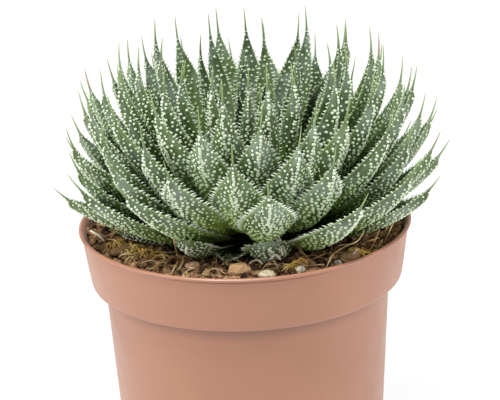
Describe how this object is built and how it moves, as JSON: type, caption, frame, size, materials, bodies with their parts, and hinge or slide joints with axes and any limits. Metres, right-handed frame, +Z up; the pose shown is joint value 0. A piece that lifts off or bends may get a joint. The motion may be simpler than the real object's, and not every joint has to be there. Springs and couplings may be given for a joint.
{
  "type": "potted lace aloe",
  "caption": "Lace aloe rosette of toothed, white-spotted leaves in a round plastic nursery pot, standing on the pot's flat foot.",
  "frame": {"origin": "middle of the pot's flat foot, on the surface it stands on", "axes": "+Z up along the pot's axis, -Y towards the side that the plant shows from the front, +X to the right"},
  "size_m": [0.1401, 0.1454, 0.1642],
  "materials": {
    "pot_plastic": "matte",
    "peat": "matte",
    "pumice": "matte",
    "bark": "matte",
    "young_leaf": "satin",
    "grown_leaf": "satin",
    "old_leaf": "satin"
  },
  "bodies": {
    "root": {"pot": "pot_plastic", "potting_mix": "peat", "pumice_stone_1": "pumice", "pumice_stone_2": "pumice", "pumice_stone_3": "pumice", "pumice_stone_4": "pumice", "bark_chip_1": "bark", "bark_chip_2": "bark", "bark_chip_3": "bark", "bark_chip_4": "bark", "rosette_heart": "young_leaf", "leaf_02": "grown_leaf", "leaf_03": "grown_leaf", "leaf_05": "grown_leaf", "leaf_06": "grown_leaf", "leaf_07": "grown_leaf", "leaf_08": "grown_leaf", "leaf_09": "grown_leaf", "leaf_10": "grown_leaf", "leaf_12": "grown_leaf", "leaf_13": "grown_leaf", "leaf_14": "grown_leaf", "leaf_15": "grown_leaf", "leaf_16": "grown_leaf", "leaf_17": "grown_leaf", "leaf_18": "grown_leaf", "leaf_20": "grown_leaf", "leaf_21": "grown_leaf", "leaf_22": "grown_leaf", "leaf_23": "grown_leaf", "leaf_24": "grown_leaf", "leaf_25": "grown_leaf", "leaf_26": "grown_leaf", "leaf_28": "grown_leaf", "leaf_29": "grown_leaf", "leaf_30": "grown_leaf", "leaf_31": "grown_leaf", "leaf_33": "grown_leaf", "leaf_34": "grown_leaf", "leaf_36": "grown_leaf", "leaf_37": "grown_leaf", "leaf_38": "grown_leaf", "leaf_39": "grown_leaf", "leaf_40": "grown_leaf", "leaf_41": "grown_leaf", "leaf_42": "grown_leaf", "leaf_43": "grown_leaf", "leaf_44": "grown_leaf", "leaf_45": "grown_leaf", "leaf_46": "grown_leaf", "old_leaf_1": "old_leaf", "old_leaf_2": "old_leaf"}
  },
  "joints": []
}
